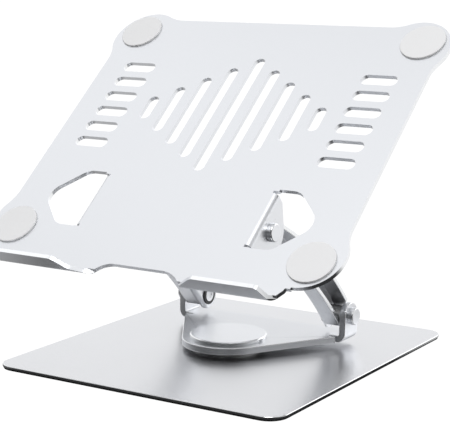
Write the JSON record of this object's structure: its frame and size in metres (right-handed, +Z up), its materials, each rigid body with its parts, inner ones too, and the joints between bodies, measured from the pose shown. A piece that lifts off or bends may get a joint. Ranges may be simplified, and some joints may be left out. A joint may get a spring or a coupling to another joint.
{
  "type": "laptop stand",
  "caption": "Swivelling metal laptop stand: slotted tray with round pads and front lips on two arched arms, hinged to a turning bracket on a flat base plate",
  "frame": {"origin": "on the swivel axis, on the surface that the stand rests on, at the centre of the base", "axes": "+Z up along the swivel axis; -Y towards the user, where the lips are; +X to the user's right"},
  "size_m": [0.283, 0.25, 0.238],
  "materials": {
    "base_metal": "brushed, bright chamfered edge",
    "mat_rubber": "matt black",
    "hidden_steel": "turned",
    "black_nylon": "smooth black",
    "bracket_metal": "satin anodised silver",
    "cap_metal": "satin anodised silver, bright chamfer",
    "bolt_metal": "satin, turned face",
    "arm_metal": "satin anodised silver",
    "tray_metal": "satin anodised silver, bright cut edges",
    "pad_silicone": "matt light grey silicone"
  },
  "bodies": {
    "base": {"base_plate": "base_metal", "base_mat": "mat_rubber", "swivel_stud": "hidden_steel", "swivel_spacer": "hidden_steel", "swivel_glide_ring": "black_nylon", "swivel_upper_ring": "black_nylon", "swivel_retainer": "hidden_steel", "swivel_nut": "hidden_steel"},
    "swivel": {"swivel_bracket": "bracket_metal", "swivel_cap": "cap_metal", "lower_pivot_bolts": "bolt_metal", "lower_pivot_spacers": "hidden_steel", "lower_friction_washers": "black_nylon", "lower_backing_washers": "black_nylon", "lower_pivot_nuts": "bolt_metal"},
    "arms": {"left_arm": "arm_metal", "right_arm": "arm_metal"},
    "tray": {"tray_plate": "tray_metal", "pad_rear_left": "pad_silicone", "pad_rear_right": "pad_silicone", "pad_front_left": "pad_silicone", "pad_front_right": "pad_silicone", "upper_pivot_bolts": "bolt_metal", "upper_pivot_spacers": "hidden_steel", "upper_friction_washers": "black_nylon", "upper_backing_washers": "black_nylon", "upper_pivot_nuts": "bolt_metal"}
  },
  "joints": [
    {"name": "swivel_turn", "type": "hinge", "parent": "base", "child": "swivel", "pos_m": [0, 0, 0.008], "axis": [0, 0, 1], "continuous": true},
    {"name": "arm_tilt", "type": "hinge", "parent": "swivel", "child": "arms", "pos_m": [0, 0.0533, 0.0252], "axis": [-1, 0, 0], "range_deg": [-15, 40]},
    {"name": "tray_tilt", "type": "hinge", "parent": "arms", "child": "tray", "pos_m": [0, -0.06041, 0.10601], "axis": [1, 0, 0], "range_deg": [-35, 25]}
  ]
}
